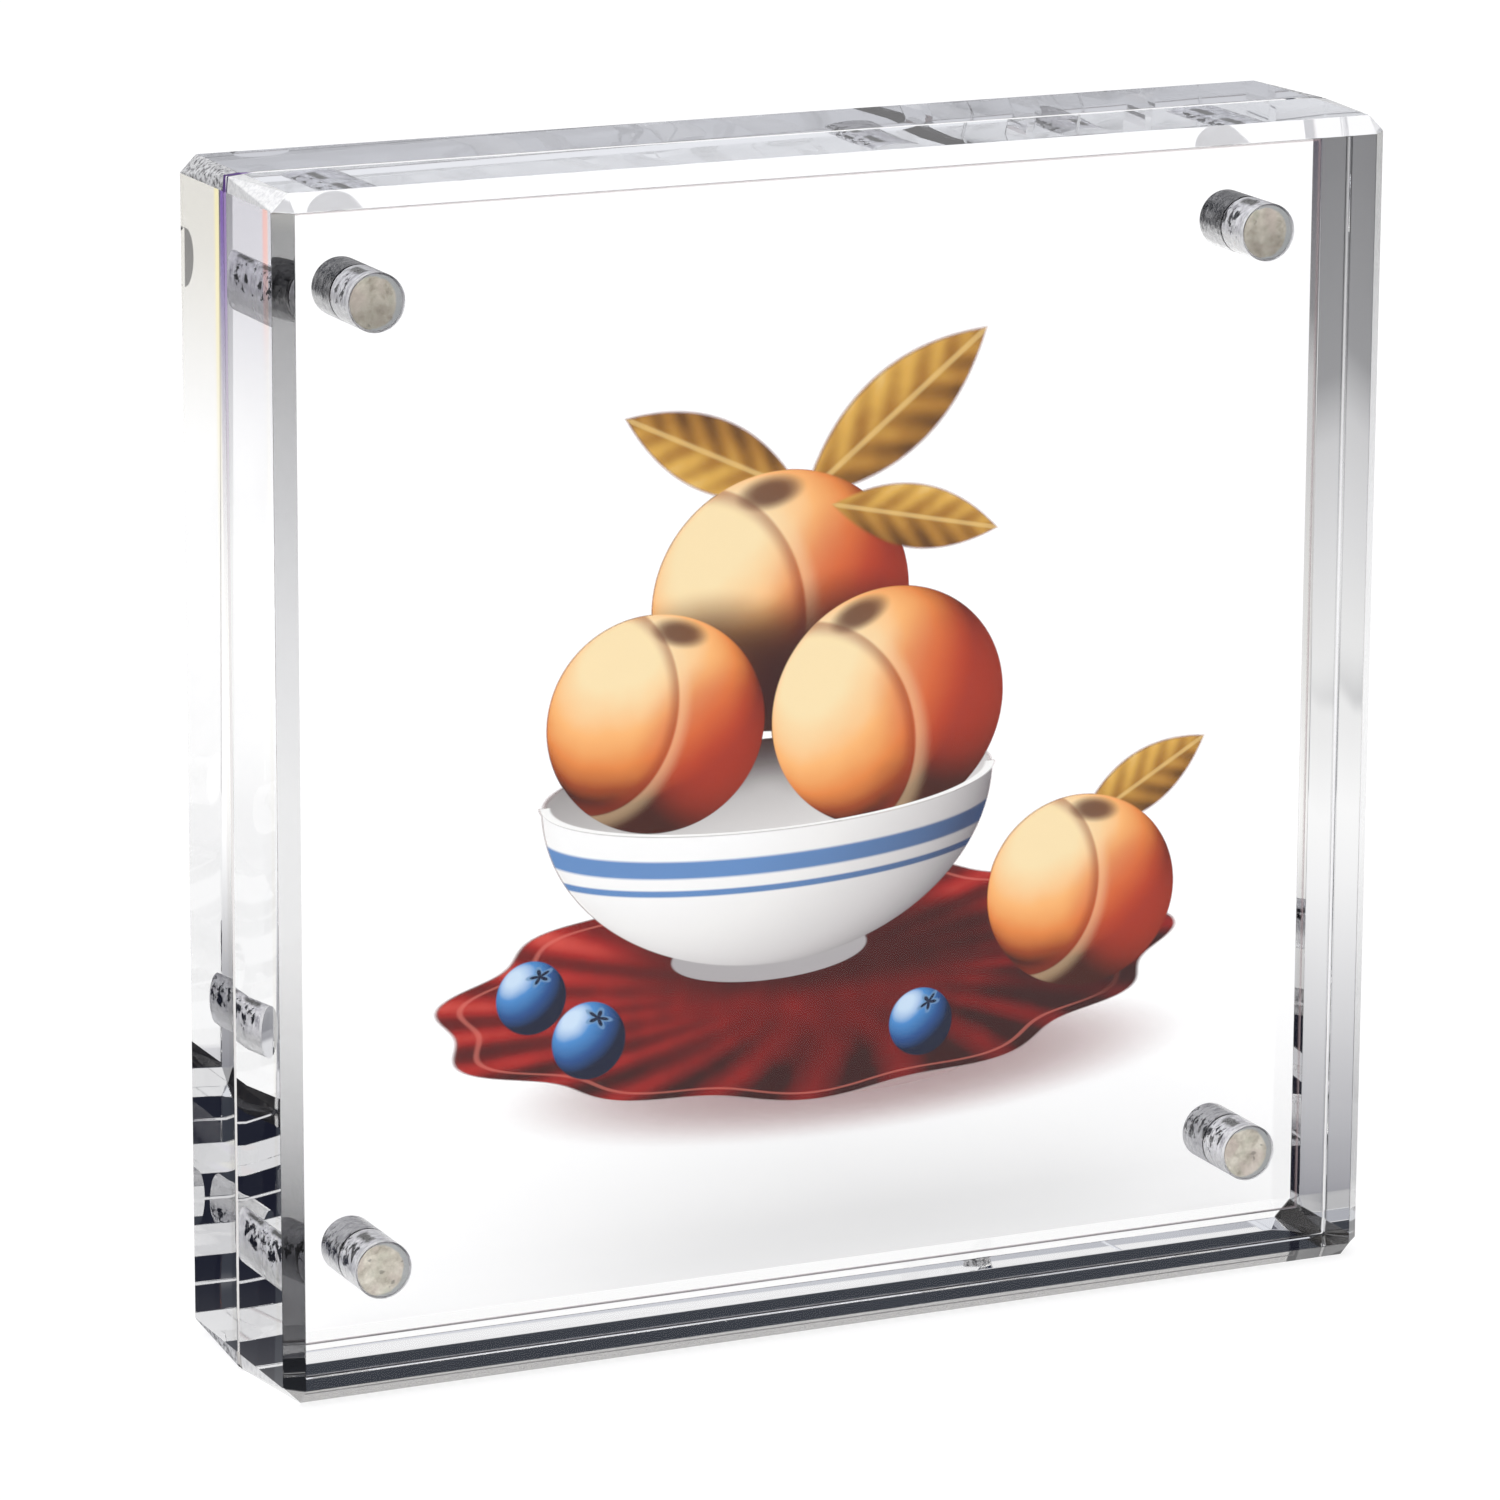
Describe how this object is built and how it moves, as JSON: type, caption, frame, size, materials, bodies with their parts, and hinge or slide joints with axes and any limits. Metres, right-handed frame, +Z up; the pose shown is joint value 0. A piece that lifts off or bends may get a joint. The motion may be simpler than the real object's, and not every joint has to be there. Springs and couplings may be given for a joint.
{
  "type": "magnetic acrylic picture frame",
  "caption": "Square free-standing picture frame of thick clear acrylic blocks with chamfered edges, held face to face by cylinder magnets over a printed film.",
  "frame": {"origin": "on the ground, under the middle of the closed frame's box", "axes": "+Z up, +Y towards the back, so the picture is seen from -Y; +X to the right of someone looking at the picture"},
  "size_m": [0.106, 0.0242, 0.106],
  "materials": {
    "clear_acrylic": "polished clear cast acrylic",
    "magnet_plating": "bright nickel plating",
    "adhesive": "mottled set adhesive",
    "picture_film": "printed clear film"
  },
  "bodies": {
    "rear_half": {"rear_block": "clear_acrylic", "rear_magnet_top_left": "magnet_plating", "rear_magnet_top_right": "magnet_plating", "rear_magnet_bottom_left": "magnet_plating", "rear_magnet_bottom_right": "magnet_plating", "rear_adhesive_top_left": "adhesive", "rear_adhesive_top_right": "adhesive", "rear_adhesive_bottom_left": "adhesive", "rear_adhesive_bottom_right": "adhesive"},
    "front_half": {"front_block": "clear_acrylic", "front_magnet_top_left": "magnet_plating", "front_magnet_top_right": "magnet_plating", "front_magnet_bottom_left": "magnet_plating", "front_magnet_bottom_right": "magnet_plating", "front_adhesive_top_left": "adhesive", "front_adhesive_top_right": "adhesive", "front_adhesive_bottom_left": "adhesive", "front_adhesive_bottom_right": "adhesive"},
    "picture": {"picture_film": "picture_film"}
  },
  "joints": [
    {"name": "front_half_slide", "type": "slide", "parent": "rear_half", "child": "front_half", "axis": [0, -1, 0], "range_m": [0, 0.06]},
    {"name": "picture_slide", "type": "slide", "parent": "rear_half", "child": "picture", "axis": [0, 0, 1], "range_m": [0, 0.105]}
  ]
}
